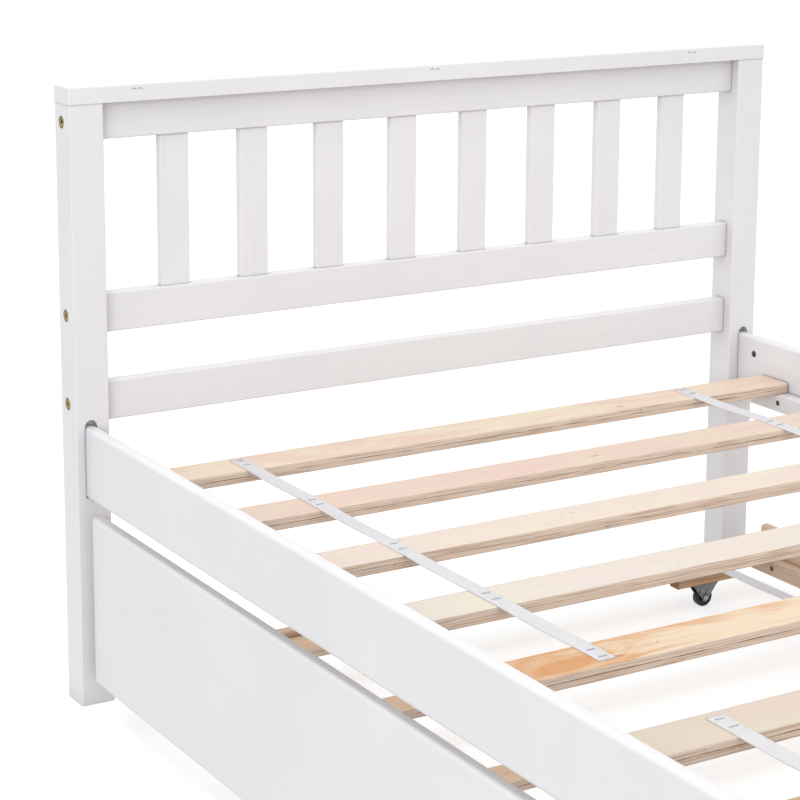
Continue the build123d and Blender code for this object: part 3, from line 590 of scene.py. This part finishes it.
def slack(y, spans):
    """How far a strap sags at y: 0 on a slat, 1 halfway between two slats."""
    if any(low <= y <= high for low, high in spans):
        return 0.0
    lower = max(high for low, high in spans if high < y)
    upper = min(low for low, high in spans if low > y)
    part = (y - lower) / (upper - lower)
    return 4 * part * (1 - part)


def strap_section():
    """Beaded selvedges and a level middle: (across, up) in strap widths and thicknesses."""
    bead = [(-0.5, 0.30), (-0.49, 0.80), (-0.47, 1.0), (-0.44, 0.98), (-0.42, 0.86)]
    middle = [(-0.40 + 0.1 * step, 0.90) for step in range(9)]
    far_bead = [(-across, up) for across, up in reversed(bead)]
    return bead + middle + far_bead + [(0.49, 0.0), (-0.49, 0.0)]


def tube_faces(rings, size):
    """Faces of a closed tube made of rings of points."""
    faces = []
    for ring in range(rings - 1):
        start = ring * size
        for step in range(size):
            following = (step + 1) % size
            faces.append((start + step, start + following, start + size + following, start + size + step))
    faces.append(tuple(reversed(range(size))))
    faces.append(tuple(range((rings - 1) * size, rings * size)))
    return faces


def strap(name, box, spans, material, seed):
    """One woven strap along Y, from end to end of its CAD run."""
    low, high = box
    middle = (low.x + high.x) / 2
    top = low.z + STRAP_LIFT
    section = strap_section()
    count = round((high.y - low.y) / STRAP_STEP)
    vertices = []
    for index in range(count + 1):
        y = low.y + (high.y - low.y) * index / count
        wander = math.sin(STRAY_SLOW * y + seed) + 0.5 * math.sin(STRAY_QUICK * y + 2 * seed)
        loose = slack(y, spans)
        tilt = TILT * math.sin(TILT_WAVE * y + 3 * seed) if loose else 0.0
        for across, up in section:
            x = middle + STRAY * wander + across * STRAP_WIDTH
            z = top - STRAP_SAG * loose + up * STRAP_THICKNESS + tilt * across * STRAP_WIDTH
            vertices.append((x, y, z))
    made = mesh_object(name, vertices, tube_faces(count + 1, len(section)), material)
    fix_normals(made)
    return made


def lay_straps(node, slat_nodes, body, material):
    """Woven straps in the place of one CAD node of straps."""
    slats = [box for name in slat_nodes for box in solid_boxes(name)]
    spans = sorted({(round(low.y, 5), round(high.y, 5)) for low, high in slats})
    for number, run in enumerate(solid_boxes(node), start=1):
        piece = strap(f"{node}_{number}", run, spans, material, seed=number)
        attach(piece, body)
        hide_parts(node)


def crescent(x, y, z):
    """Vertices and faces of one thin curved stroke standing on a wall that faces -Y."""
    vertices, faces = [], []
    for index in range(DENT_STEPS + 1):
        turn = math.pi * index / DENT_STEPS
        across = x - DENT_WIDTH / 2 * math.cos(turn)
        rise = z + DENT_RISE * math.sin(turn)
        fat = DENT_STROKE * (0.35 + 0.65 * math.sin(turn))
        vertices += [(across, y, rise), (across, y - DENT_RELIEF, rise + fat / 2), (across, y, rise + fat)]
    for index in range(DENT_STEPS):
        start = 3 * index
        faces += [(start, start + 1, start + 4, start + 3), (start + 1, start + 2, start + 5, start + 4)]
    return vertices, faces


def dent_cap(material):
    """Three pairs of shallow dents along the front of the headboard's cap, drawn as thin grey strokes of
    painted shade.
    """
    low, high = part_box("head_cap")
    vertices, faces = [], []
    for place in DENT_PLACES:
        for side in (-0.5, 0.5):
            x = low.x + place + side * DENT_APART
            points, loops = crescent(x, low.y - DENT_PROUD, high.z - DENT_BELOW)
            faces += [tuple(index + len(vertices) for index in loop) for loop in loops]
            vertices += points
    marks = mesh_object("head_cap_dents", vertices, faces, material)
    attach(marks, "bed")


def add_camera():
    """Camera at the photograph's viewing angle."""
    data = bpy.data.cameras.new("camera")
    data.lens = CAMERA_LENS
    data.sensor_width = SENSOR_WIDTH
    data.shift_y = CAMERA_SHIFT
    data.clip_end = CAMERA_REACH
    camera = bpy.data.objects.new("camera", data)
    bpy.context.scene.collection.objects.link(camera)
    turn = Matrix.Rotation(math.radians(-CAMERA_YAW), 4, "Z")
    turn @= Matrix.Rotation(math.radians(90 - CAMERA_PITCH), 4, "X")
    turn @= Matrix.Rotation(math.radians(CAMERA_ROLL), 4, "Z")
    camera.matrix_world = Matrix.Translation(CAMERA_AT) @ turn
    bpy.context.scene.camera = camera


def add_panel_light(name, at, towards, size, power):
    """Soft square light."""
    data = bpy.data.lights.new(name, "AREA")
    data.shape = "SQUARE"
    data.size = size
    data.energy = power
    light = bpy.data.objects.new(name, data)
    light.visible_camera = False
    bpy.context.scene.collection.objects.link(light)
    light.location = at
    light.rotation_euler = (Vector(towards) - Vector(at)).to_track_quat("-Z", "Y").to_euler()


def light_from_around(world):
    """White from all sides, weaker from below, where the floor hides it from view."""
    nodes, links = world.node_tree.nodes, world.node_tree.links
    direction = nodes.new("ShaderNodeTexCoord").outputs["Generated"]
    split = nodes.new("ShaderNodeSeparateXYZ")
    links.new(direction, split.inputs["Vector"])
    fade = nodes.new("ShaderNodeMapRange")
    links.new(split.outputs["Z"], fade.inputs["Value"])
    settings = {"From Min": GROUND_UP_TO, "From Max": SKY_FROM, "To Min": GROUND * SKY, "To Max": SKY}
    for socket, value in settings.items():
        fade.inputs[socket].default_value = value
    background = nodes["Background"]
    background.inputs["Color"].default_value = WHITE
    links.new(fade.outputs["Result"], background.inputs["Strength"])


def add_floor():
    """Wide pale floor just under the feet, which lights nothing itself."""
    half = FLOOR_SIZE / 2
    corners = [(-half, -half, 0), (half, -half, 0), (half, half, 0), (-half, half, 0)]
    floor = mesh_object("floor", corners, [(0, 1, 2, 3)], floor_finish(), smooth=False)
    floor.location.z = -FLOOR_DROP
    floor.visible_diffuse = False


def add_stage():
    """Even white surroundings, a pale floor and soft studio light."""
    scene = bpy.context.scene
    scene.view_settings.view_transform = "Standard"
    scene.world = bpy.data.worlds.new("studio")
    scene.world.use_nodes = True
    light_from_around(scene.world)
    add_floor()
    add_panel_light("key", **KEY_LIGHT)
    add_panel_light("top", **TOP_LIGHT)


nodes = frame["nodes"]
add_camera()
add_stage()
dress_painted(nodes)
dress_slats(nodes)
dress_timber(nodes)
dress_hardware(nodes)
tape = webbing()
lay_straps("bed_slat_straps", named(nodes, "bed_slat_0", "bed_slat_1"), "bed", tape)
lay_straps("trundle_slat_straps", named(nodes, "trundle_slats_"), "trundle", tape)
dent_cap(dented_paint())
